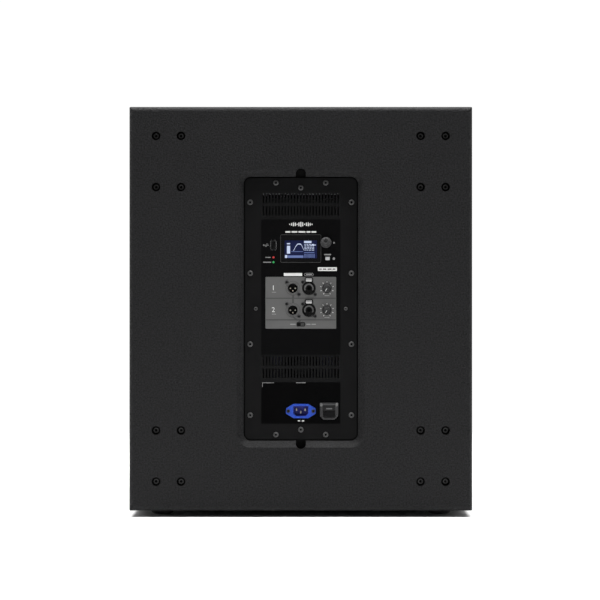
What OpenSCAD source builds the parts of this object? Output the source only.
// Powered bass-reflex subwoofer: a plywood cabinet, an 18 inch driver behind a steel grille,
// and a plate amplifier in a chamfered recess of the rear panel.
// +Z is up, the grille faces -Y, the amplifier faces +Y, and z = 0 is what the feet stand on.
// "u, v, w" on the amplifier panel are right, up and outwards as seen by someone facing it.

/* [Cabinet] */
// Width of the cabinet
cab_w = 550; // [540:1:700]
// Height of the cabinet without its feet
cab_h = 648; // [640:1:800]
// Depth of the cabinet
cab_d = 720; // [640:1:900]
// Thickness of the outer plywood boards
board_t = 18; // [15:0.5:21]
// Round-over of the front and rear edges
edge_r = 8; // [3:0.5:12]
// Round-over of the four long edges
long_edge_r = 2.5; // [1:0.5:5]
// Height of the rubber feet
foot_h = 9; // [5:0.5:20]
// Radius of a rubber foot
foot_r = 19; // [15:0.5:25]
// Distance of a foot's centre from the cabinet's side
foot_inset_x = 50; // [35:1:80]
// Distance of a foot's centre from the front and rear
foot_inset_y = 65; // [35:1:90]

/* [Front] */
// Thickness of the front baffle
baffle_t = 24; // [18:1:30]
// Distance of the baffle behind the cabinet's front edges
baffle_recess = 46; // [44:1:60]
// Height of the slot port
port_h = 90; // [60:1:110]
// Distance of the port's inner end from the inside of the rear panel
port_end_gap = 112; // [80:1:160]
// Sheet thickness of the grille
grille_t = 1.5; // [1:0.1:2]
// Distance of the grille behind the cabinet's front edges
grille_recess = 3; // [1:0.5:6]
// Gap between the grille and the cabinet
grille_gap = 2; // [1:0.5:4]
// Depth of the grille's folded rim
grille_fold = 18; // [10:1:22]
// Thickness of the foam behind the grille
foam_t = 8; // [4:1:10]

/* [Driver] */
// Outer radius of the driver's flange
driver_r = 231; // [215:1:240]
// Radius of the driver's hole in the baffle
driver_hole_r = 211; // [205:0.5:213]
// Radius of the bolt circle
driver_bolt_circle_r = 222; // [218:0.5:226]
// Radius of the voice coil's former
coil_r = 50; // [38:0.5:51]
// Radius of the magnet ring
magnet_r = 110; // [90:1:118]
// Thickness of the magnet ring
magnet_t = 28; // [15:1:36]

/* [Amplifier recess] */
// Width of the amplifier panel
panel_w = 180; // [170:1:220]
// Height of the amplifier panel
panel_h = 420; // [410:1:510]
// Thickness of the amplifier panel
panel_t = 3; // [2:0.5:4]
// Corner radius of the amplifier panel
panel_r = 9.5; // [5:0.5:15]
// Gap between the panel and the recess wall
panel_gap = 2; // [1:0.25:4]
// Width and depth of the chamfer round the recess
chamfer = 10.4; // [5:0.1:12]
// Depth of the panel's face below the cabinet's rear face
panel_depth = 13; // [12:0.5:14]
// Radius of the finger notches at the top and bottom of the recess
notch_r = 8; // [5:0.5:10]
// Distance that a notch reaches past the recess opening
notch_reach = 13.4; // [8:0.1:16]
// Width of the ledge that the panel is screwed to
ledge_w = 24; // [20:1:26]
// Depth of the sealed housing behind the panel
housing_d = 150; // [120:1:180]
// Wall of the sealed housing
housing_wall = 2; // [1:0.5:4]
// Thickness of the printed films on the panel
film_t = 0.4; // [0.2:0.1:0.6]

/* [Caster points] */
// Horizontal pitch of a caster point's four holes
caster_pitch_x = 40; // [30:1:60]
// Vertical pitch of a caster point's four holes
caster_pitch_z = 82; // [60:1:100]
// Distance of a caster point's centre from the cabinet's side
caster_inset_x = 63; // [50:1:80]
// Distance of a caster point's centre from the cabinet's top and bottom
caster_inset_z = 88; // [80:1:110]
// Radius of a caster point's counterbore
caster_bore_r = 7; // [6:0.25:8]
// Depth of a caster point's counterbore
caster_bore_d = 6; // [3:0.5:8]
// Thread radius of the tee nuts
thread_r = 4; // [3:0.5:4]

/* [Handles and pole socket] */
// Length of a handle cup's opening
cup_w = 166; // [140:1:180]
// Height of a handle cup's opening
cup_h = 96; // [80:1:110]
// Depth of a handle cup
cup_d = 70; // [60:1:75]
// Sheet thickness of a handle cup
cup_t = 2; // [1.5:0.5:3]
// Radius of the steel bar in a handle
bar_r = 8; // [6:0.5:9]
// Radius of the rubber grip on the bar
grip_r = 12; // [10:0.5:14]
// Height of the handles above the cabinet's middle
handle_up = 65; // [0:1:120]
// Distance of the handles in front of the cabinet's middle
handle_forward = 70; // [0:1:80]
// Bore radius of the pole socket
pole_r = 17.75; // [15:0.05:18]
// Depth of the pole socket's smooth bore
pole_depth = 80; // [50:1:100]
// Radius of the thread in the pole socket's floor
pole_thread_r = 10; // [8:0.5:12]
// Thickness of the pole socket's floor
pole_floor_t = 12; // [8:1:20]
// Distance of the pole socket in front of the cabinet's middle
pole_forward = 40; // [30:1:80]

/* [Controls] */
// Distance between the two channels' rows
channel_pitch = 35.2; // [34:0.1:38]
// Radius of a level knob
level_knob_r = 6.6; // [5:0.1:8]
// Height of a level knob above the panel
level_knob_h = 11; // [8:0.5:12]
// Radius of the encoder knob
encoder_knob_r = 8.9; // [7:0.1:10]
// Travel of the crossover slider
slider_travel = 5; // [3:0.1:5]
// Rocker tilt each side of its middle, in degrees
rocker_tilt = 8; // [4:0.5:9]
// Number of vent slots in a row
vent_count = 25; // [15:1:25]
// Pitch of the vent slots
vent_pitch = 5; // [4:0.1:5]

/* [Hidden] */
$fn = 48;
cut = 1;            // how far a cutting shape runs past what it cuts
fit = 0.2;          // gap between pieces that sit in each other
thread_gap = 0.05;  // gap round a screw in its thread

// Cabinet
y_front = -cab_d / 2;
y_rear = cab_d / 2;
z_base = foot_h;
z_top = foot_h + cab_h;
z_mid = foot_h + cab_h / 2;
inner_w = cab_w - 2 * board_t;
inner_h = cab_h - 2 * board_t;
rear_inner_y = y_rear - board_t;

// Front
baffle_y = y_front + baffle_recess;
grille_y = y_front + grille_recess;
grille_w = inner_w - 2 * grille_gap;
grille_h = inner_h - 2 * grille_gap;
grille_r = 6;
foam_y = grille_y + grille_t;
batten_w = 16;
batten_x = grille_w / 2 - grille_t - 1 - batten_w / 2;
port_top = z_base + board_t + port_h;
shelf_top = port_top + board_t;
divider_x = (inner_w - 2 * board_t) / 6 + board_t / 2;
driver_z = (shelf_top + z_top - board_t) / 2;

// Brace and lining
brace_y = 32;
brace_rim = 40;
lining_t = 20;
lining_gap = 6;

// Driver, with heights above the baffle's face
flange_t = 14;
surround_seat = 10;
roll_r = 8;
roll_mid_r = 197;
cone_edge_r = roll_mid_r - roll_r;
surround_t = 1.2;
cone_t = 1.4;
cone_apex_z = -72;
cone_edge_z = surround_seat - cone_t;
former_t = 1.2;
winding_t = 1.6;
gap_clear = 1.2;
coil_bottom_z = -154;
basket_floor_z = -122;
basket_floor_t = 8;
top_plate_t = 14;
back_plate_t = 16;
plate_top_z = basket_floor_z - basket_floor_t;
magnet_top_z = plate_top_z - top_plate_t;
back_plate_z = magnet_top_z - magnet_t;
spider_z = -86;
spider_outer_r = 104;
spider_t = 1.2;
vent_r = 15;
driver_bolt_count = 8;
cap_r = 70;
cap_rise = 26;

// Amplifier recess
opening_w = panel_w + 2 * panel_gap;
opening_h = panel_h + 2 * panel_gap;
opening_r = panel_r + panel_gap;
panel_drop = min(panel_depth, board_t - panel_t - 1);
panel_y = y_rear - panel_drop;
gasket_t = board_t - panel_drop - panel_t;
frame_t = 18;
frame_hole_w = opening_w - 2 * ledge_w;
frame_hole_h = opening_h - 2 * ledge_w;
housing_gap = 2;
housing_w = frame_hole_w - 2 * housing_gap;
housing_h = frame_hole_h - 2 * housing_gap;
screw_inset = 8.6;

// The shelf runs under the amplifier housing where there is room, or else stops ahead of it
shelf_clears = z_mid - housing_h / 2 > shelf_top + housing_gap;
port_end_y = shelf_clears ? rear_inner_y - port_end_gap : panel_y - panel_t - housing_d - port_end_gap / 4;

// Places on the amplifier panel
screw_u = panel_w / 2 - screw_inset;
screw_v = panel_h / 2 - 7.6;
centre_screw_v = screw_v - 8;
corner_screw_u = 40;
chassis_screw_u = screw_u - 9.1;
side_screw_pitch = (panel_h - 78) / 3;
vent_slot = [2.2, 15];
vent_rows = [177.3, 157.6, -84.2, -103.7];
overlay_size = [127, 217];
overlay_v = 34.75;
mains_size = [127, 66.5];
mains_v = -151.5;
display_at = [0, 96.7];
display_size = [63.7, 43.4];
encoder_at = [40.4, 106.2];
home_at = [43, 80.8];
usb_at = [-43.9, 102.1];
lamp_u = -43.9;
lamp_vs = [82.5, 74.7];
xlr_u = -12.8;
combo_u = 13;
level_u = 42;
channel_1_v = 32.9;
channel_vs = [channel_1_v, channel_1_v - channel_pitch];
connector_screw_at = 9.9;
xlr_r = 8.5;
xlr_bore_r = 7.75;
combo_r = 10.8;
combo_bore_r = 9.4;
combo_insert_r = 7.8;
latch_size = [9.8, 5.2];
latch_v = 13.4;
connector_d = 22;
selector_at = [0, -25];
selector_size = [13.2, 6.8];
slider_size = [5.4, 4.6];
inlet_at = [0, -164.4];
inlet_flange = [50, 23];
inlet_hole = [24, 16];
inlet_screw_u = 20;
switch_at = [45.4, -164.7];
switch_hole = 19.4;
rocker_size = [18.6, 17.2];
fan_at = [0, -94];
fan_size = 60;
fan_d = 20;
fan_w = -panel_t - fan_d;
blade_count = 7;
shaft_r = 3;
bush_r = 3.5;

// Handles and pole socket
flange_plate_t = 3;
handle_rim = 14;
handle_y = -handle_forward;
handle_z = z_mid + handle_up;
handle_bar_up = 10;
bar_below = board_t + bar_r + 2;
pole_y = -pole_forward;
pole_wall = 3;
pole_flange = 96;

// Countersunk screws that hold trim
trim_head_r = 3.8;
trim_head_t = 2;
trim_shank_r = 2;
trim_length = 18;

// ---------- shared shapes ----------

// Rectangle with four round corners, centred
module rounded_rect(w, h, r) {
    square([w, h - 2 * r], center = true);
    square([w - 2 * r, h], center = true);
    for (x = [-1, 1], y = [-1, 1])
        translate([x * (w / 2 - r), y * (h / 2 - r)]) circle(r);
}

module rounded_plate(w, h, t, r) {
    linear_extrude(t) rounded_rect(w, h, r);
}

// Rectangle from the origin, with its two corners at x = w rounded
module outer_rounded(w, h, radius) {
    r = min(radius, w / 2);
    difference() {
        square([w, h]);
        translate([w - r, -cut]) square([r + cut, r + cut]);
        translate([w - r, h - r]) square([r + cut, r + cut]);
    }
    for (y = [r, h - r]) translate([w - r, y]) circle(r);
}

module block(size, at = [0, 0, 0]) {
    translate(at) cube(size, center = true);
}

// Ring with a straight bore, standing on z
module ring(outer_r, inner_r, h, z = 0) {
    translate([0, 0, z]) difference() {
        cylinder(r = outer_r, h = h);
        translate([0, 0, -cut]) cylinder(r = inner_r, h = h + 2 * cut);
    }
}

// Countersunk screw with its head's face at z = 0, pointing down
module trim_screw() {
    difference() {
        union() {
            translate([0, 0, -trim_head_t])
                cylinder(r1 = trim_shank_r, r2 = trim_head_r, h = trim_head_t);
            translate([0, 0, -trim_length]) cylinder(r = trim_shank_r, h = trim_length - trim_head_t);
        }
        translate([0, 0, -1.4]) cylinder(r = 1.6, h = 1.4 + cut, $fn = 6);
    }
}

// The hole that a countersunk screw sits in
module trim_screw_hole() {
    translate([0, 0, -trim_head_t]) cylinder(r1 = trim_shank_r, r2 = trim_head_r, h = trim_head_t);
    translate([0, 0, -trim_length - thread_gap])
        cylinder(r = trim_shank_r + thread_gap, h = trim_length);
    cylinder(r = trim_head_r, h = cut);
}

// Button-head machine screw with its seat at z = 0, pointing down
module button_screw(shank_r, head_r, head_h, length, key_r) {
    difference() {
        union() {
            intersection() {
                translate([0, 0, head_h - head_r * 1.35]) sphere(head_r * 1.35);
                cylinder(r = head_r, h = head_h);
            }
            translate([0, 0, -length]) cylinder(r = shank_r, h = length);
        }
        translate([0, 0, head_h * 0.35]) cylinder(r = key_r, h = head_h, $fn = 6);
    }
}

// Places a shape on the amplifier panel: x is right, y up, z outwards
module at_panel(u = 0, v = 0, w = 0) {
    translate([-u, panel_y + w, z_mid + v]) rotate([90, 0, 180]) children();
}

// Places a shape on the baffle at the driver's centre, with z outwards
module at_driver(z = 0) {
    translate([0, baffle_y - z, driver_z]) rotate([90, 0, 0]) children();
}

// Places a shape on a side face, 1 for +X and -1 for -X, with z outwards
module at_side(side) {
    translate([side * cab_w / 2, handle_y, handle_z]) rotate([90, 0, side * 90]) children();
}

module at_caster_holes() {
    for (x = [-1, 1], z = [-1, 1], i = [-0.5, 0.5], j = [-0.5, 0.5])
        translate([
            x * (cab_w / 2 - caster_inset_x) + i * caster_pitch_x,
            y_rear,
            z_mid + z * (cab_h / 2 - caster_inset_z) + j * caster_pitch_z
        ]) rotate([-90, 0, 0]) children();
}

module at_feet() {
    for (x = [-1, 1], y = [-1, 1])
        translate([x * (cab_w / 2 - foot_inset_x), y * (cab_d / 2 - foot_inset_y), 0]) children();
}

module at_panel_screws() {
    for (s = [-1, 1]) {
        for (i = [-1.5:1:1.5]) at_panel(s * screw_u, i * side_screw_pitch) children();
        for (t = [-1, 1]) at_panel(s * corner_screw_u, t * screw_v) children();
        at_panel(0, s * centre_screw_v) children();
    }
}

// Two small screws hold the chassis behind the panel
module at_chassis_screws() {
    for (s = [-1, 1]) at_panel(s * chassis_screw_u, 0) children();
}

// The other small screws: two each connector and two the inlet
module at_connector_screws() {
    at_chassis_screws() children();
    for (s = [-1, 1]) {
        at_panel(s * inlet_screw_u, inlet_at[1], inlet_flange_t) children();
        for (v = channel_vs, u = [xlr_u, combo_u])
            at_panel(u - s * connector_screw_at, v + s * connector_screw_at, film_t) children();
    }
}

module at_pole_screws() {
    for (x = [-1, 1], y = [-1, 1])
        translate([x * (pole_flange / 2 - 8), pole_y + y * (pole_flange / 2 - 8), z_top]) children();
}

module at_handle_screws() {
    for (s = [-1, 1], x = [-1, 1], y = [-1, 1])
        at_side(s) translate([x * (cup_w / 2 + handle_rim / 2), y * (cup_h / 2 + handle_rim / 2)])
            children();
}

module at_grille_screws() {
    for (x = [-1, 1], z = [port_top + 30, (port_top + z_top - board_t) / 2, z_top - board_t - 40])
        translate([x * batten_x, grille_y, z])
            rotate([90, 0, 0]) children();
}

// ---------- cabinet ----------

// One side board, with its round-overs where the cabinet's outside edges are
module side_board(side) {
    difference() {
        intersection() {
            translate([0, -y_front, z_base]) rotate([90, 0, 0]) linear_extrude(cab_d)
                outer_board_profile(side, cab_h, long_edge_r);
            translate([0, y_front, z_base]) linear_extrude(cab_h)
                outer_board_profile(side, cab_d, edge_r);
            translate([side * (cab_w / 2 - board_t / 2), 0, z_mid]) rotate([90, 0, 90])
                linear_extrude(board_t + 2 * cut, center = true) rounded_rect(cab_d, cab_h, edge_r);
        }
        at_side(side) translate([0, 0, -flange_plate_t])
            rounded_plate(cup_w + 2 * handle_rim + 2 * fit, cup_h + 2 * handle_rim + 2 * fit,
                flange_plate_t + cut, 12);
        at_side(side) translate([0, 0, -board_t - cut])
            rounded_plate(cup_w + 2 * cup_t + 2 * fit, cup_h + 2 * cup_t + 2 * fit, board_t + cut, 18);
        at_handle_screws() trim_screw_hole();
    }
}

module outer_board_profile(side, length, r) {
    mirror([side < 0 ? 1 : 0, 0]) translate([cab_w / 2 - board_t, 0])
        outer_rounded(board_t, length, r);
}

module side_panel_left() {
    color("#1c1c1d") side_board(-1);
}

module side_panel_right() {
    color("#1c1c1d") side_board(1);
}

// A board between the sides, with its outer edges round; up is 1 for the top board
module level_board(up) {
    translate([-inner_w / 2, 0, z_mid]) mirror([0, 0, up > 0 ? 0 : 1])
        translate([0, -cab_d / 2, cab_h / 2 - board_t]) rotate([0, 90, 0])
            mirror([1, 0, 0]) linear_extrude(inner_w) outer_rounded(board_t, cab_d, edge_r);
}

module top_panel() {
    color("#1c1c1d") difference() {
        level_board(1);
        translate([0, pole_y, z_top - flange_plate_t])
            rounded_plate(pole_flange + 2 * fit, pole_flange + 2 * fit, flange_plate_t + cut, 10);
        translate([0, pole_y, z_top - board_t - cut])
            cylinder(r = pole_r + pole_wall + fit, h = board_t + cut);
        at_pole_screws() trim_screw_hole();
    }
}

module bottom_panel() {
    color("#1c1c1d") difference() {
        level_board(-1);
        at_feet() translate([0, 0, z_base - cut])
            cylinder(r = trim_shank_r + thread_gap, h = foot_screw_depth + cut + thread_gap);
    }
}

// Chamfered mouth of the amplifier recess: straight walls, and a cone at each corner
module recess_mouth() {
    half_u = opening_w / 2;
    half_v = opening_h / 2;
    for (s = [0, 180]) rotate([0, 0, s]) {
        translate([0, half_v - opening_r, 0]) rotate([90, 0, 0])
            linear_extrude(opening_h - 2 * opening_r)
                polygon([[0, -chamfer], [half_u, -chamfer], [half_u + chamfer, 0], [0, 0]]);
        translate([-half_u + opening_r, 0, 0]) rotate([90, 0, 90])
            linear_extrude(opening_w - 2 * opening_r)
                polygon([[0, -chamfer], [half_v, -chamfer], [half_v + chamfer, 0], [0, 0]]);
    }
    for (x = [-1, 1], y = [-1, 1])
        translate([x * (half_u - opening_r), y * (half_v - opening_r), -chamfer])
            cylinder(r1 = opening_r, r2 = opening_r + chamfer, h = chamfer);
}

module rear_panel() {
    notch_centre = opening_h / 2 + notch_reach - notch_r;
    color("#1c1c1d") difference() {
        block([inner_w, board_t, inner_h], [0, y_rear - board_t / 2, z_mid]);
        at_panel(0, 0, panel_drop) recess_mouth();
        at_panel(0, 0, panel_drop - board_t - cut)
            rounded_plate(opening_w, opening_h, board_t + cut - chamfer / 2, opening_r);
        for (s = [-1, 1]) at_panel(0, s * notch_centre, panel_drop - board_t - cut) {
            cylinder(r = notch_r, h = board_t + 2 * cut);
            block([2 * notch_r, 2 * notch_r, 2 * (board_t + 2 * cut)], [0, -s * notch_r, 0]);
        }
        at_caster_holes() {
            translate([0, 0, -caster_bore_d]) cylinder(r = caster_bore_r, h = caster_bore_d + cut);
            translate([0, 0, -board_t - cut]) cylinder(r = thread_r + 1.1, h = board_t + cut);
        }
    }
}

module front_baffle() {
    h = z_top - board_t - port_top;
    color("#202021") difference() {
        block([inner_w, baffle_t, h], [0, baffle_y + baffle_t / 2, port_top + h / 2]);
        at_driver(-baffle_t - cut) cylinder(r = driver_hole_r, h = baffle_t + 2 * cut);
        at_driver() at_driver_bolts() translate([0, 0, -baffle_t - cut])
            cylinder(r = driver_bolt_r + thread_gap, h = baffle_t + 2 * cut);
    }
}

// The slot port's shelf and the two dividers that hold it up
module port_boards() {
    shelf_l = port_end_y - baffle_y - baffle_t;
    divider_l = port_end_y - baffle_y;
    color("#b8935f") {
        block([inner_w, shelf_l, board_t], [0, port_end_y - shelf_l / 2, port_top + board_t / 2]);
        for (s = [-1, 1]) block([board_t, divider_l, port_h],
            [s * divider_x, port_end_y - divider_l / 2, port_top - port_h / 2]);
    }
}

module window_brace() {
    h = z_top - board_t - shelf_top;
    color("#b8935f") translate([0, brace_y + board_t, shelf_top + h / 2]) rotate([90, 0, 0])
        difference() {
            linear_extrude(board_t) square([inner_w, h], center = true);
            translate([0, 0, -cut]) rounded_plate(inner_w - 2 * brace_rim, h - 2 * brace_rim,
                board_t + 2 * cut, brace_rim);
        }
}

// Frame behind the amplifier's opening, and the strips that the grille is screwed to
module mounting_battens() {
    strip_d = baffle_recess - grille_recess - grille_t - foam_t;
    strip_top_gap = grille_gap + grille_r;
    strip_h = z_top - board_t - strip_top_gap - port_top;
    color("#0d0d0d") {
        difference() {
            at_panel(0, 0, panel_drop - board_t - frame_t)
                rounded_plate(opening_w + 40, opening_h + 40, frame_t, 12);
            at_panel(0, 0, panel_drop - board_t - frame_t - cut)
                rounded_plate(frame_hole_w, frame_hole_h, frame_t + 2 * cut, 6);
            at_panel_screws() translate([0, 0, -panel_screw_l - cut])
                cylinder(r = panel_screw_r + thread_gap, h = panel_screw_l + 2 * cut);
            at_chassis_screws() translate([0, 0, -small_screw_l - cut])
                cylinder(r = small_screw_r + thread_gap, h = small_screw_l + 2 * cut);
        }
        difference() {
            for (s = [-1, 1]) block([batten_w, strip_d, strip_h],
                [s * batten_x, baffle_y - strip_d / 2, z_top - board_t - strip_top_gap - strip_h / 2]);
            at_grille_screws() trim_screw_hole();
        }
    }
}

// Foam sheets on the walls, in front of the brace and behind it
module wall_lining() {
    z_low = shelf_top;
    z_high = z_top - board_t;
    back_y = brace_y + board_t + lining_gap;
    back_l = rear_inner_y - frame_t - lining_gap - back_y;
    front_y = baffle_y + baffle_t + lining_gap;
    front_l = pole_y - pole_flange / 2 - front_y;
    color("#3a3a3c") {
        for (s = [-1, 1]) block([lining_t, back_l, z_high - z_low],
            [s * (inner_w - lining_t) / 2, back_y + back_l / 2, (z_low + z_high) / 2]);
        block([inner_w - 2 * lining_t, back_l, lining_t], [0, back_y + back_l / 2, z_high - lining_t / 2]);
        block([inner_w, front_l, lining_t], [0, front_y + front_l / 2, z_high - lining_t / 2]);
    }
}

// ---------- feet, caster points, pole socket, handles ----------

foot_screw_head_z = 5;
foot_screw_depth = trim_length + foot_screw_head_z - foot_h;
foot_flat_r = 11;

module rubber_feet() {
    color("#151515") at_feet() difference() {
        rotate_extrude() union() {
            translate([0, foot_h / 2]) square([foot_r, foot_h / 2]);
            square([foot_flat_r, foot_h]);
            intersection() {
                square([foot_r, foot_h]);
                translate([foot_flat_r, foot_h / 2]) scale([(foot_r - foot_flat_r) / (foot_h / 2), 1])
                    circle(foot_h / 2);
            }
        }
        translate([0, 0, -cut]) cylinder(r = trim_head_r + 1, h = foot_screw_head_z + cut);
        translate([0, 0, foot_screw_head_z]) mirror([0, 0, 1]) trim_screw_hole();
    }
}

module caster_tee_nuts() {
    color("#9a9a98") at_caster_holes() difference() {
        union() {
            translate([0, 0, -board_t]) cylinder(r = thread_r + 1, h = board_t - caster_bore_d);
            translate([0, 0, -board_t - 1.5]) cylinder(r = 11, h = 1.5);
        }
        translate([0, 0, -board_t - 1.5 - cut])
            cylinder(r = thread_r + thread_gap, h = board_t + 1.5 + cut);
    }
}

// Set screws that close the caster points until casters are fitted
module caster_plug_screws() {
    length = 12;
    face = caster_bore_d + 0.8;
    color("#3b3b3d") at_caster_holes() difference() {
        union() {
            translate([0, 0, -face - length]) cylinder(r = thread_r, h = length - 0.6);
            translate([0, 0, -face - 0.6]) cylinder(r1 = thread_r, r2 = thread_r - 0.6, h = 0.6);
        }
        translate([0, 0, -face - 4]) cylinder(r = 2.3, h = 4 + cut, $fn = 6);
    }
}

module pole_socket() {
    tube_r = pole_r + pole_wall;
    tube_h = pole_depth + pole_floor_t;
    color("#26272a") translate([0, pole_y, z_top]) difference() {
        union() {
            translate([0, 0, -flange_plate_t])
                rounded_plate(pole_flange, pole_flange, flange_plate_t, 10);
            translate([0, 0, -tube_h]) cylinder(r = tube_r, h = tube_h - flange_plate_t / 2);
        }
        translate([0, 0, -pole_depth]) cylinder(r = pole_r, h = pole_depth + cut);
        translate([0, 0, -tube_h - cut]) cylinder(r = pole_thread_r, h = pole_floor_t + 2 * cut);
        translate([0, -pole_y, -z_top]) at_pole_screws() trim_screw_hole();
    }
}

module handle_cup() {
    difference() {
        union() {
            translate([0, 0, -flange_plate_t])
                rounded_plate(cup_w + 2 * handle_rim, cup_h + 2 * handle_rim, flange_plate_t, 12);
            translate([0, 0, -cup_d])
                rounded_plate(cup_w + 2 * cup_t, cup_h + 2 * cup_t, cup_d - flange_plate_t / 2, 18);
        }
        translate([0, 0, -cup_d + cup_t]) rounded_plate(cup_w, cup_h, cup_d, 16);
    }
}

module fitted_handle_cup(side) {
    difference() {
        at_side(side) handle_cup();
        at_handle_screws() trim_screw_hole();
    }
}

module handle_cup_left() {
    color("#1a1a1b") fitted_handle_cup(-1);
}

module handle_cup_right() {
    color("#1a1a1b") fitted_handle_cup(1);
}

// A steel bar across each cup, with a rubber grip on it
module handle_bars() {
    for (s = [-1, 1]) at_side(s) translate([0, handle_bar_up, -bar_below]) rotate([0, 90, 0]) {
        color("#4a4b4d") cylinder(r = bar_r, h = cup_w, center = true);
        color("#171717") translate([0, 0, -(cup_w - 36) / 2]) ring(grip_r, bar_r, cup_w - 36);
    }
}

module trim_screws() {
    color("#222324") {
        at_pole_screws() trim_screw();
        at_handle_screws() trim_screw();
        at_grille_screws() trim_screw();
        at_feet() translate([0, 0, foot_screw_head_z]) mirror([0, 0, 1]) trim_screw();
    }
}

module front_grille() {
    color("#1b1b1c") difference() {
        translate([0, grille_y + grille_fold, z_mid]) rotate([90, 0, 0])
            rounded_plate(grille_w, grille_h, grille_fold, grille_r);
        translate([0, grille_y + grille_fold + cut, z_mid]) rotate([90, 0, 0])
            rounded_plate(grille_w - 2 * grille_t, grille_h - 2 * grille_t,
                grille_fold + cut - grille_t, grille_r - grille_t);
        at_grille_screws() trim_screw_hole();
    }
}

module grille_foam() {
    w = grille_w - 2 * grille_t - 2 * fit;
    h = grille_h - 2 * grille_t - 2 * fit;
    color("#0f0f10") difference() {
        translate([0, foam_y + foam_t, z_mid]) rotate([90, 0, 0])
            rounded_plate(w, h, foam_t, grille_r - grille_t);
        at_grille_screws() trim_screw_hole();
    }
}

// ---------- driver ----------

driver_bolt_r = 3;
lug_angle = 22.5;  // the terminal lug sits on one of the frame's arms
lug_r = 128;
lug_z = -124;
lug_t = 12;

module at_driver_bolts() {
    for (i = [0:driver_bolt_count - 1]) rotate([0, 0, (i + 0.5) * 360 / driver_bolt_count])
        translate([driver_bolt_circle_r, 0, 0]) children();
}

// Cast frame: a flange, eight arms, a spider shelf and a floor that holds the magnet
module driver_basket() {
    wall = 5;
    top_r = driver_hole_r - 2;
    low_r = 116;
    shelf_z = spider_z - spider_t;
    arm_gap = 52;
    color("#2a2b2d") at_driver() difference() {
        union() {
            rotate_extrude() polygon([
                [top_r - 3, surround_seat], [driver_r, surround_seat], [driver_r, 0],
                [top_r, 0], [low_r, plate_top_z + 6], [low_r, plate_top_z],
                [coil_r + 8, plate_top_z], [coil_r + 8, basket_floor_z], [low_r - wall - 2, basket_floor_z],
                [spider_outer_r + 6, shelf_z - 4], [spider_outer_r - 6, shelf_z - 4],
                [spider_outer_r - 6, shelf_z], [spider_outer_r + 10, shelf_z], [top_r - wall - 3, 0]
            ]);
            ring(driver_r, roll_mid_r + roll_r + 10.5, flange_t - surround_seat, surround_seat);
            rotate([0, 0, lug_angle]) block([24, 16, lug_t], [lug_r - 2, 0, lug_z + lug_t / 2]);
        }
        for (i = [0:7]) rotate([0, 0, i * 45])
            translate([low_r + 3 + 50, 0, -62]) cube([100, arm_gap, 104], center = true);
        at_driver_bolts() translate([0, 0, -cut])
            cylinder(r = driver_bolt_r + fit, h = flange_t + 2 * cut);
    }
}

module driver_cone() {
    color("#1d1d1e") at_driver() rotate_extrude() polygon([
        [coil_r + former_t, cone_apex_z], [cone_edge_r - 6, cone_edge_z], [cone_edge_r, cone_edge_z],
        [cone_edge_r, cone_edge_z + cone_t], [cone_edge_r - 6 - cone_t, cone_edge_z + cone_t],
        [coil_r + former_t, cone_apex_z + 2 * cone_t]
    ]);
}

// Half-roll surround from the cone's edge to the frame's seat
module driver_surround() {
    seat_w = 11;
    color("#111112") at_driver(surround_seat) rotate_extrude() {
        intersection() {
            translate([roll_mid_r, 0]) difference() {
                circle(roll_r + surround_t / 2);
                circle(roll_r - surround_t / 2);
            }
            translate([roll_mid_r - 2 * roll_r, 0]) square([4 * roll_r, 2 * roll_r]);
        }
        translate([roll_mid_r + roll_r - surround_t / 2, 0]) square([seat_w, surround_t]);
        translate([roll_mid_r - roll_r - 6, 0]) square([6 + surround_t / 2, surround_t]);
    }
}

// Corrugated cloth disc between the former and the frame's shelf
module driver_spider() {
    waves = 4;
    inner = coil_r + former_t;
    step = (spider_outer_r - 8 - inner) / (2 * waves);
    color("#b9863f") at_driver(spider_z) rotate_extrude() polygon(concat(
        [for (i = [0:2 * waves]) [inner + i * step, (i % 2 == 0 ? 0 : 4)]],
        [[spider_outer_r, 0], [spider_outer_r, -spider_t]],
        [for (i = [2 * waves:-1:0]) [inner + i * step, (i % 2 == 0 ? 0 : 4) - spider_t]]
    ));
}

// Height of the cone's upper face at a radius
function cone_top(r) = let (low = coil_r + former_t, high = cone_edge_r - 6 - cone_t,
    low_z = cone_apex_z + 2 * cone_t, high_z = cone_edge_z + cone_t)
    low_z + (r - low) * (high_z - low_z) / (high - low);

// Domed cap with a lip that is glued to the cone
module dust_cap() {
    cap_t = 1;
    lip = 5;
    sphere_r = (cap_r * cap_r + cap_rise * cap_rise) / (2 * cap_rise);
    color("#161617") at_driver() rotate_extrude() {
        translate([0, cone_top(cap_r) + 0.3]) intersection() {
            translate([0, cap_rise - sphere_r]) difference() {
                circle(sphere_r);
                circle(sphere_r - cap_t);
            }
            square([cap_r, cap_rise]);
        }
        polygon([
            [cap_r - 3, cone_top(cap_r - 3)], [cap_r + lip, cone_top(cap_r + lip)],
            [cap_r + lip, cone_top(cap_r + lip) + cap_t], [cap_r, cone_top(cap_r) + cap_t + 1],
            [cap_r - 3, cone_top(cap_r - 3) + cap_t + 1]
        ]);
    }
}

// Former with its winding at the lower end
module voice_coil() {
    top = cone_apex_z + 2 * cone_t;
    color("#b87333") at_driver() rotate_extrude() {
        translate([coil_r, coil_bottom_z]) square([former_t, top - coil_bottom_z]);
        translate([coil_r + former_t / 2, coil_bottom_z + 2]) square([former_t / 2 + winding_t, 26]);
    }
}

module magnet_ring() {
    color("#4b4b4e") at_driver() ring(magnet_r, coil_r + 14, magnet_t, back_plate_z);
}

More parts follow.
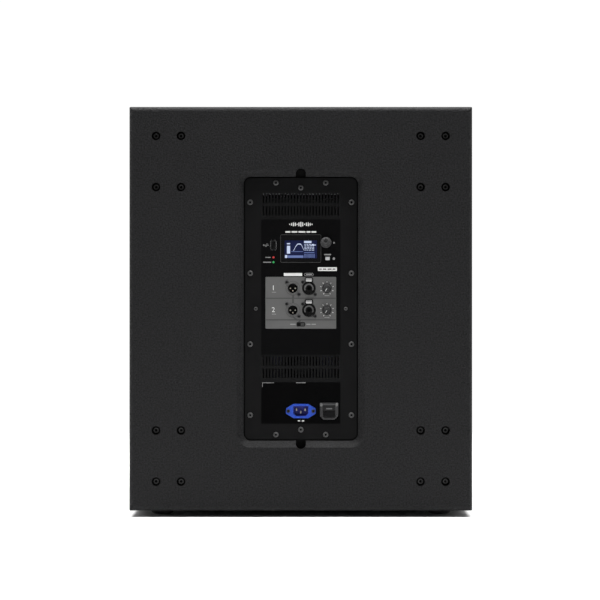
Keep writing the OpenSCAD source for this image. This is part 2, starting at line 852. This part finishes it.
// Top plate with the gap's outer wall, and the back plate with the vented pole
module magnet_plates() {
    gap_r = coil_r + former_t + winding_t + gap_clear;
    color("#8c8d90") at_driver() {
        ring(magnet_r - 2, gap_r, top_plate_t, magnet_top_z);
        difference() {
            union() {
                translate([0, 0, back_plate_z - back_plate_t]) cylinder(r = magnet_r - 2, h = back_plate_t);
                translate([0, 0, back_plate_z - cut])
                    cylinder(r = coil_r - gap_clear, h = plate_top_z - back_plate_z + cut);
            }
            translate([0, 0, back_plate_z - back_plate_t - cut])
                cylinder(r = vent_r, h = plate_top_z - back_plate_z + back_plate_t + 2 * cut);
        }
    }
}

// Foam gaskets: one on the driver's surround, one behind the amplifier panel
module gaskets() {
    color("#0d0d0d") {
        at_driver(surround_seat + surround_t)
            ring(roll_mid_r + roll_r + 10, roll_mid_r + roll_r + 2, flange_t - surround_seat);
        difference() {
            at_panel(0, 0, -panel_t - gasket_t)
                rounded_plate(panel_w - 2, panel_h - 2, gasket_t, panel_r - 1);
            at_panel(0, 0, -panel_t - gasket_t - cut)
                rounded_plate(frame_hole_w, frame_hole_h, gasket_t + 2 * cut, 6);
            at_panel_screws() translate([0, 0, -panel_screw_l])
                cylinder(r = panel_screw_r + fit, h = panel_screw_l);
            at_chassis_screws() translate([0, 0, -panel_screw_l])
                cylinder(r = small_screw_r + fit, h = panel_screw_l);
        }
    }
}

module driver_bolts() {
    color("#18191a") at_driver(flange_t) at_driver_bolts()
        button_screw(driver_bolt_r, 5.2, 3.3, flange_t + baffle_t - 4, 2.3);
}

// ---------- speaker cable inside the cabinet ----------

cable_r = 3;
cable_sides = 8;
gland_r = 8;
gland_h = 8;
cable_start = [0, panel_y - panel_t - housing_d - gland_h, z_mid + 60];
cable_end = [lug_r * cos(lug_angle), baffle_y - lug_z, driver_z + lug_r * sin(lug_angle)];
cable_pull_1 = [0, -110, -70];
cable_pull_2 = [0, 110, -50];
cable_steps = 24;
cable_lead = [0, 8, 0];

function bezier(a, b, c, d, t) =
    a * pow(1 - t, 3) + 3 * b * t * pow(1 - t, 2) + 3 * c * t * t * (1 - t) + d * pow(t, 3);

// Straight out of the gland, one sagging curve, and straight into the lug
cable_route = let (a = cable_start - cable_lead, d = cable_end + cable_lead) concat(
    [cable_start],
    [for (i = [0:cable_steps]) bezier(a, a + cable_pull_1, d + cable_pull_2, d, i / cable_steps)],
    [cable_end]
);

function unit(v) = v / norm(v);
function direction(path, i) = unit(path[min(i + 1, len(path) - 1)] - path[max(i - 1, 0)]);
function across(d) = unit(cross(d, [0, 0, 1]));

// Round tube along a path, as one polyhedron
module tube(path, r, sides) {
    n = len(path);
    points = [for (i = [0:n - 1]) let (d = direction(path, i), a = across(d), b = cross(d, a))
        for (k = [0:sides - 1]) path[i] + r * (cos(k * 360 / sides) * a + sin(k * 360 / sides) * b)];
    walls = [for (i = [0:n - 2], k = [0:sides - 1])
        [i * sides + k, i * sides + (k + 1) % sides, (i + 1) * sides + (k + 1) % sides, (i + 1) * sides + k]];
    start = [for (k = [sides - 1:-1:0]) k];
    end = [for (k = [0:sides - 1]) (n - 1) * sides + k];
    polyhedron(points, concat(walls, [start, end]));
}

module speaker_cable() {
    color("#101010") tube(cable_route, cable_r, cable_sides);
}

// ---------- amplifier panel ----------

panel_screw_r = 2.5;
panel_screw_l = 22;
small_screw_r = 1.5;
small_screw_l = 7;
inlet_flange_t = 2.4;

module amp_panel() {
    color("#242426") difference() {
        at_panel(0, 0, -panel_t) rounded_plate(panel_w, panel_h, panel_t, panel_r);
        at_panel(0, 0, -panel_t - cut) panel_holes(panel_t + 2 * cut);
        at_panel_screws() translate([0, 0, -panel_t - cut])
            cylinder(r = panel_screw_r + fit, h = panel_t + 2 * cut);
    }
}

// Every opening through the panel but those of its own screws
module panel_holes(h) {
    for (v = vent_rows, i = [0:vent_count - 1])
        translate([(i - (vent_count - 1) / 2) * vent_pitch - vent_slot[0] / 2, v - vent_slot[1] / 2, 0])
            cube([vent_slot[0], vent_slot[1], h]);
    overlay_holes(h);
    translate([inlet_at[0] - 14.2, inlet_at[1] - 10.2, 0]) cube([28.4, 20.4, h]);
    translate([switch_at[0] - 12.2, switch_at[1] - 12.2, 0]) cube([24.4, 24.4, h]);
    for (s = [-1, 1]) {
        translate([s * inlet_screw_u, inlet_at[1], 0]) cylinder(r = small_screw_r + fit, h = h);
        translate([s * chassis_screw_u, 0, 0]) cylinder(r = small_screw_r + fit, h = h);
    }
}

// The openings that the control overlay shares with the panel behind it
module overlay_holes(h) {
    at_flat(display_at) cube([display_size[0] + 2 * fit, display_size[1] + 2 * fit, 2 * h], center = true);
    at_flat(encoder_at) cylinder(r = bush_r + fit, h = h);
    at_flat(home_at) cube([7 + 2 * fit, 5 + 2 * fit, 2 * h], center = true);
    at_flat(usb_at) cube([7 + 2 * fit, 14.4 + 2 * fit, 2 * h], center = true);
    for (v = lamp_vs) at_flat([lamp_u, v]) cylinder(r = 1.5 + fit, h = h);
    for (v = channel_vs) {
        at_flat([xlr_u, v]) cylinder(r = xlr_r + fit, h = h);
        at_flat([combo_u, v]) cylinder(r = combo_r + fit, h = h);
        at_flat([combo_u, v + latch_v])
            cube([latch_size[0] + 3.2 + 2 * fit, latch_size[1] + 3.2 + 2 * fit, 2 * h], center = true);
        at_flat([level_u, v]) cylinder(r = bush_r + fit, h = h);
        for (u = [xlr_u, combo_u], s = [-1, 1])
            at_flat([u - s * connector_screw_at, v + s * connector_screw_at])
                cylinder(r = small_screw_r + fit, h = h);
    }
    at_flat(selector_at) cube([selector_size[0] + 2 * fit, selector_size[1] + 2 * fit, 2 * h], center = true);
}

module at_flat(p) {
    translate([p[0], p[1], 0]) children();
}

// Printed films: the control overlay and the mains label
module panel_labels() {
    color("#0c0c0d") {
        difference() {
            at_panel(0, overlay_v) rounded_plate(overlay_size[0], overlay_size[1], film_t, 1);
            at_panel(0, 0, -cut) overlay_holes(film_t + 2 * cut);
        }
        difference() {
            at_panel(0, mains_v) rounded_plate(mains_size[0], mains_size[1], film_t, 1);
            at_panel(inlet_at[0], inlet_at[1], -cut)
                rounded_plate(inlet_flange[0] + 2 * fit, inlet_flange[1] + 2 * fit, film_t + 2 * cut, 4);
            at_panel(switch_at[0], switch_at[1], -cut)
                translate([-15, -14, 0]) cube([30, 28, film_t + 2 * cut]);
        }
    }
}

// Deep drawn housing that seals the electronics from the cabinet, with the cable's gland
module amp_housing() {
    color("#8f9194") {
        difference() {
            at_panel(0, 0, -panel_t - housing_d) rounded_plate(housing_w, housing_h, housing_d, 5);
            at_panel(0, 0, -panel_t - housing_d + housing_wall)
                rounded_plate(housing_w - 2 * housing_wall, housing_h - 2 * housing_wall, housing_d, 3);
        }
        translate(cable_start) rotate([-90, 0, 0]) cylinder(r = gland_r, h = gland_h);
    }
}

// The panel's own screws and the small ones that hold its connectors and chassis
module panel_screws() {
    color("#3c3d3f") at_panel_screws()
        button_screw(panel_screw_r, 4.4, 2.6, panel_screw_l, 1.6);
    color("#2c2d2e") at_connector_screws()
        button_screw(small_screw_r, 2.9, 1.8, small_screw_l, 1.1);
}

module display_window() {
    color("#0b0b0c") at_panel(display_at[0], display_at[1], -panel_t)
        rounded_plate(display_size[0], display_size[1], panel_t + film_t, 1);
}

module display_module() {
    color("#1b2c6b") at_panel(display_at[0], display_at[1], -panel_t - 6)
        rounded_plate(display_size[0] + 2, display_size[1] + 8, 6, 1);
}

// ---------- turning controls ----------

encoder_top = 4;        // how far a control's bushing stands out of the panel
control_depth = 11;     // depth of a control's body behind the panel
rotor_t = 3;
rotor_w = -panel_t - 7;
shaft_end_w = rotor_w - 1.5;
shaft_gap = 0.05;

// Body with a bushing through the panel and a bored way for the shaft
module control_body(size, cavity_r) {
    difference() {
        union() {
            block([size, size, control_depth], [0, 0, -panel_t - control_depth / 2]);
            translate([0, 0, -panel_t - 1]) cylinder(r = bush_r, h = encoder_top + panel_t + 1);
        }
        translate([0, 0, rotor_w - 0.3]) cylinder(r = cavity_r, h = rotor_t + 0.6);
        translate([0, 0, -panel_t - control_depth - cut])
            cylinder(r = shaft_r + shaft_gap, h = control_depth + panel_t + encoder_top + 2 * cut);
    }
}

module rotary_controls() {
    color("#7f8184") {
        at_panel(encoder_at[0], encoder_at[1]) control_body(14, 5.2);
        for (v = channel_vs) at_panel(level_u, v) control_body(12, shaft_r + shaft_gap);
    }
}

// Detent ring that turns with the encoder's shaft while the shaft slides in it
module encoder_rotor() {
    color("#c9a24a") at_panel(encoder_at[0], encoder_at[1]) ring(5, shaft_r + shaft_gap, rotor_t, rotor_w);
}

// Knob on its shaft, hollow below so that the bushing goes up inside it
module knob_on_shaft(r, low, high, shaft_low) {
    difference() {
        union() {
            translate([0, 0, low]) cylinder(r1 = r, r2 = r * 0.93, h = high - low - 1);
            translate([0, 0, high - 1]) cylinder(r1 = r * 0.93, r2 = r * 0.93 - 0.8, h = 1);
        }
        translate([0, 0, low - cut]) cylinder(r = bush_r + 0.6, h = encoder_top + 2 - low + cut);
    }
    translate([0, 0, shaft_low]) cylinder(r = shaft_r, h = encoder_top + 2.5 - shaft_low);
}

module encoder_knob() {
    color("#37383a") at_panel(encoder_at[0], encoder_at[1])
        knob_on_shaft(encoder_knob_r, film_t + 1.2, 12, shaft_end_w);
}

module level_knob(v) {
    color("#1a1a1b") at_panel(level_u, v)
        knob_on_shaft(level_knob_r, film_t + 0.8, level_knob_h, shaft_end_w);
}

module level_knob_1() {
    level_knob(channel_vs[0]);
}

module level_knob_2() {
    level_knob(channel_vs[1]);
}

// Key cap with a flange behind the panel that keeps it in
module home_button() {
    color("#b9babb") at_panel(home_at[0], home_at[1]) {
        block([7, 5, panel_t + 2], [0, 0, 1.6 - (panel_t + 2) / 2]);
        block([9, 7, 1], [0, 0, -panel_t - 0.6]);
    }
}

module indicator_lamps() {
    for (i = [0, 1]) color(i == 0 ? "#c5242b" : "#24a148") at_panel(lamp_u, lamp_vs[i], -panel_t - 3) {
        cylinder(r = 1.5, h = panel_t + 3);
        translate([0, 0, 2]) cylinder(r = 2, h = 1);
        intersection() {
            translate([0, 0, panel_t + 3 - 1.1]) sphere(2);
            translate([0, 0, panel_t + 3]) cylinder(r = 1.5, h = 2);
        }
    }
}

module usb_socket() {
    color("#a6a7a9") at_panel(usb_at[0], usb_at[1]) {
        difference() {
            union() {
                block([7, 14.4, 14], [0, 0, -6.4]);
                block([11, 18, 1.5], [0, 0, -panel_t - 0.75]);
            }
            block([5.2, 12.6, 14], [0, 0, -5.4]);
        }
        block([1.6, 11, 10], [1.2, 0, -7.4]);
    }
}

// ---------- connectors ----------

// Ears behind the panel on one diagonal, bored for the two small screws
module connector_ears(t) {
    difference() {
        translate([0, 0, -panel_t - t]) rotate([0, 0, 135])
            linear_extrude(t) rounded_rect(2 * connector_screw_at * sqrt(2) + 7, 12, 3);
        for (s = [-1, 1]) translate([-s * connector_screw_at, s * connector_screw_at, -panel_t - t - cut])
            cylinder(r = small_screw_r + thread_gap, h = t + 2 * cut);
    }
}

module xlr_outputs() {
    floor_z = -connector_d + 6;
    color("#5c5d60") for (v = channel_vs) at_panel(xlr_u, v) difference() {
        union() {
            translate([0, 0, -connector_d]) cylinder(r = xlr_r, h = connector_d + film_t + 0.8);
            connector_ears(4);
        }
        translate([0, 0, floor_z]) cylinder(r = xlr_bore_r, h = connector_d);
    }
}

// Housing with the latch's pocket, and the insert with the jack bore and three contact bores
module combo_inputs() {
    for (v = channel_vs) at_panel(combo_u, v) {
        color("#0e0e0f") difference() {
            union() {
                translate([0, 0, -connector_d]) cylinder(r = combo_r, h = connector_d + film_t + 1.4);
                block([latch_size[0] + 3.2, latch_size[1] + 3.2, 12],
                    [0, latch_v, film_t + 1.4 - 6]);
                connector_ears(4);
            }
            translate([0, 0, -connector_d + 4]) cylinder(r = combo_bore_r, h = connector_d);
            block([latch_size[0] + 2 * fit, latch_size[1] + 2 * fit, 16],
                [0, latch_v, film_t - 6 + 8]);
        }
        color("#6d6e71") difference() {
            translate([0, 0, -connector_d + 4]) cylinder(r = combo_insert_r, h = connector_d - 5);
            translate([0, 0, -connector_d + 5]) cylinder(r = 3.25, h = connector_d);
            for (a = [0, 180, 270]) rotate([0, 0, a])
                translate([4, 0, -connector_d + 8]) cylinder(r = 1.45, h = connector_d);
        }
    }
}

module combo_latch(v) {
    color("#d8d9da") at_panel(combo_u, v + latch_v)
        block([latch_size[0], latch_size[1], 5.6], [0, 0, film_t + 1.9 - 2.8]);
}

module combo_latch_1() {
    combo_latch(channel_vs[0]);
}

module combo_latch_2() {
    combo_latch(channel_vs[1]);
}

// Metal contacts: three pins in each output socket and three blades in the mains inlet
module connector_pins() {
    color("#d9c27a") {
        for (v = channel_vs, a = [0, 180, 270]) at_panel(xlr_u, v, -connector_d + 6)
            rotate([0, 0, a]) translate([4, 0, 0]) {
                cylinder(r = 1.2, h = connector_d - 9);
                translate([0, 0, connector_d - 9]) cylinder(r1 = 1.2, r2 = 0.6, h = 1);
            }
        for (p = [[-7, 2], [7, 2], [0, -2]])
            at_panel(inlet_at[0] + p[0], inlet_at[1] + p[1], -13.6) block([2, 4, 14], [0, 0, 7]);
    }
}

// Slide switch with a window that its slider runs in
module crossover_switch() {
    color("#111112") at_panel(selector_at[0], selector_at[1]) difference() {
        union() {
            block([selector_size[0], selector_size[1], 9], [0, 0, film_t + 0.3 - 4.5]);
            block([selector_size[0] + 6, selector_size[1] + 4, 2], [0, 0, -panel_t - 1]);
        }
        block([slider_size[0] + slider_travel + 2 * fit, slider_size[1] + 2 * fit, 9],
            [0, 0, film_t + 0.3 - 3.2 + 4.5]);
    }
}

module crossover_slider() {
    color("#3a3b3d") at_panel(selector_at[0] + slider_travel / 2, selector_at[1])
        block([slider_size[0], slider_size[1], 3.6], [0, 0, film_t - 0.8]);
}

// Mains inlet: a pointed flange, a body behind it and a keyed opening for the plug
module ac_inlet() {
    half = inlet_flange / 2;
    top_u = 15;
    end_r = 4;
    color("#2250b8") at_panel(inlet_at[0], inlet_at[1]) difference() {
        union() {
            linear_extrude(inlet_flange_t) {
                polygon([
                    [-top_u, half[1]], [top_u, half[1]], [half[0] - end_r + 2.6, 3.2],
                    [half[0] - end_r + 2.6, -3.2], [top_u, -half[1]], [-top_u, -half[1]],
                    [-half[0] + end_r - 2.6, -3.2], [-half[0] + end_r - 2.6, 3.2]
                ]);
                for (s = [-1, 1]) translate([s * (half[0] - end_r), 0]) circle(end_r);
            }
            block([28, 20, 18], [0, 0, -9 + 0.2]);
        }
        translate([0, 0, -13.6]) linear_extrude(20) polygon([
            [-inlet_hole[0] / 2, inlet_hole[1] / 2], [inlet_hole[0] / 2, inlet_hole[1] / 2],
            [inlet_hole[0] / 2, -inlet_hole[1] / 2 + 5], [inlet_hole[0] / 2 - 5, -inlet_hole[1] / 2],
            [-inlet_hole[0] / 2 + 5, -inlet_hole[1] / 2], [-inlet_hole[0] / 2, -inlet_hole[1] / 2 + 5]
        ]);
        for (s = [-1, 1]) translate([s * inlet_screw_u, 0, -cut])
            cylinder(r = small_screw_r + thread_gap, h = inlet_flange_t + 2 * cut);
    }
}

// Raised guard round the mains switch, with bores for the rocker's pivots
module power_switch_frame() {
    guard = 6.5;
    color("#2d2e30") at_panel(switch_at[0], switch_at[1]) difference() {
        union() {
            linear_extrude(guard) polygon([
                [-14.8, 12.3], [-13.3, 13.8], [13.3, 13.8], [14.8, 12.3],
                [14.8, -9.6], [8.2, -13.6], [-8.2, -13.6], [-14.8, -9.6]
            ]);
            block([24, 24, 18], [0, 0, -9]);
        }
        translate([-switch_hole / 2, -switch_hole / 2 + 0.4, -11])
            cube([switch_hole, switch_hole, 11 + guard + cut]);
        translate([0, 0.4, 0]) rotate([0, 90, 0])
            cylinder(r = pivot_r + 0.05, h = switch_hole + 4, center = true);
    }
}

pivot_r = 1.2;

// Rocker with its upper half pressed in, on two pivots
module power_rocker() {
    half = rocker_size[1] / 2;
    color("#161617") at_panel(switch_at[0], switch_at[1] + 0.4) rotate([-rocker_tilt, 0, 0]) {
        rotate([90, 0, 90]) translate([0, 0, -rocker_size[0] / 2]) linear_extrude(rocker_size[0])
            polygon([[-half, 4.4], [0, 2.4], [half, 4.4], [half, 0], [3, -6], [-3, -6], [-half, 0]]);
        rotate([0, 90, 0]) cylinder(r = pivot_r, h = switch_hole + 3, center = true);
    }
}

// ---------- electronics inside the housing ----------

board_thick = 1.6;
control_board_w = -panel_t - connector_d - 1;
power_board_w = -78;
board_w = 118;
control_board = [45, 188];  // height of its middle on the panel, and its length
power_boards = [[85, 190], [-115, 120]];
pillar_r = 2.5;
housing_floor_w = -panel_t - housing_d + housing_wall;

module heatsink() {
    fin_count = 11;
    fin_pitch = 8.5;
    base = [fin_pitch * (fin_count - 1) + 2, 160, 6];
    color("#b4b6b9") at_panel(0, 85, housing_floor_w) {
        block(base, [0, 0, base[2] / 2]);
        for (i = [0:fin_count - 1])
            block([2, base[1], 24.5], [(i - (fin_count - 1) / 2) * fin_pitch, 0, base[2] + 12]);
    }
}

// A board with four pillars that reach from it to the height foot_w
module board_on_pillars(middle_v, length, w, foot_w) {
    at_panel(0, middle_v, w) block([board_w, length, board_thick]);
    for (x = [-1, 1], y = [-1, 1])
        at_panel(x * (board_w / 2 - 4), middle_v + y * (length / 2 - 4), min(w, foot_w))
            cylinder(r = pillar_r, h = abs(w - foot_w));
}

module circuit_boards() {
    color("#17623a") {
        board_on_pillars(control_board[0], control_board[1], control_board_w, -panel_t);
        for (b = power_boards) board_on_pillars(b[0], b[1], power_board_w, housing_floor_w);
    }
}

// Reservoir capacitors and the transformer on the supply board
module power_parts() {
    top = power_board_w + board_thick / 2;
    color("#202c52") for (u = [-38, -8]) at_panel(u, -80, top) cylinder(r = 12.5, h = 26);
    color("#202c52") for (u = [-38, -8]) at_panel(u, -112, top) cylinder(r = 12.5, h = 26);
    color("#3d3128") at_panel(32, -96, top) block([46, 42, 24], [0, 0, 12]);
    color("#3d3128") at_panel(-20, -150, top) ring(17, 7, 16);
}

module fan_frame() {
    hole_r = fan_size / 2 - 2;
    color("#1d1d1f") at_panel(fan_at[0], fan_at[1], fan_w) difference() {
        rounded_plate(fan_size, fan_size, fan_d, 4);
        translate([0, 0, 3]) cylinder(r = hole_r, h = fan_d);
        difference() {
            translate([0, 0, -cut]) cylinder(r = hole_r, h = 5);
            translate([0, 0, -2 * cut]) cylinder(r = 13, h = 8);
            for (a = [0, 90]) rotate([0, 0, a + 45]) block([2 * hole_r + 4, 4, 12]);
        }
        translate([0, 0, -cut]) cylinder(r = 1.55, h = 8);
    }
}

// Hub with pitched blades, turning on a pin in the frame's bush
module fan_rotor() {
    hub_r = 12;
    color("#2a2a2c") at_panel(fan_at[0], fan_at[1], fan_w) {
        translate([0, 0, 4.5]) cylinder(r = hub_r, h = fan_d - 6);
        translate([0, 0, 0.5]) cylinder(r = 1.5, h = 5);
        for (i = [0:blade_count - 1]) rotate([0, 0, i * 360 / blade_count])
            translate([hub_r - 1, 0, 4.5 + (fan_d - 6) / 2]) rotate([38, 0, 0])
                translate([0, -8, -0.6]) cube([fan_size / 2 - 4 - hub_r, 16, 1.2]);
    }
}

// ---------- what is drawn ----------

side_panel_left();
side_panel_right();
top_panel();
bottom_panel();
rear_panel();
front_baffle();
port_boards();
window_brace();
mounting_battens();
wall_lining();
rubber_feet();
caster_tee_nuts();
caster_plug_screws();
pole_socket();
handle_cup_left();
handle_cup_right();
handle_bars();
trim_screws();
front_grille();
grille_foam();
driver_basket();
driver_cone();
driver_surround();
driver_spider();
dust_cap();
voice_coil();
magnet_ring();
magnet_plates();
gaskets();
driver_bolts();
speaker_cable();
amp_panel();
amp_housing();
panel_screws();
panel_labels();
display_window();
display_module();
rotary_controls();
encoder_rotor();
encoder_knob();
level_knob_1();
level_knob_2();
home_button();
indicator_lamps();
usb_socket();
xlr_outputs();
combo_inputs();
combo_latch_1();
combo_latch_2();
connector_pins();
crossover_switch();
crossover_slider();
ac_inlet();
power_switch_frame();
power_rocker();
heatsink();
circuit_boards();
power_parts();
fan_frame();
fan_rotor();
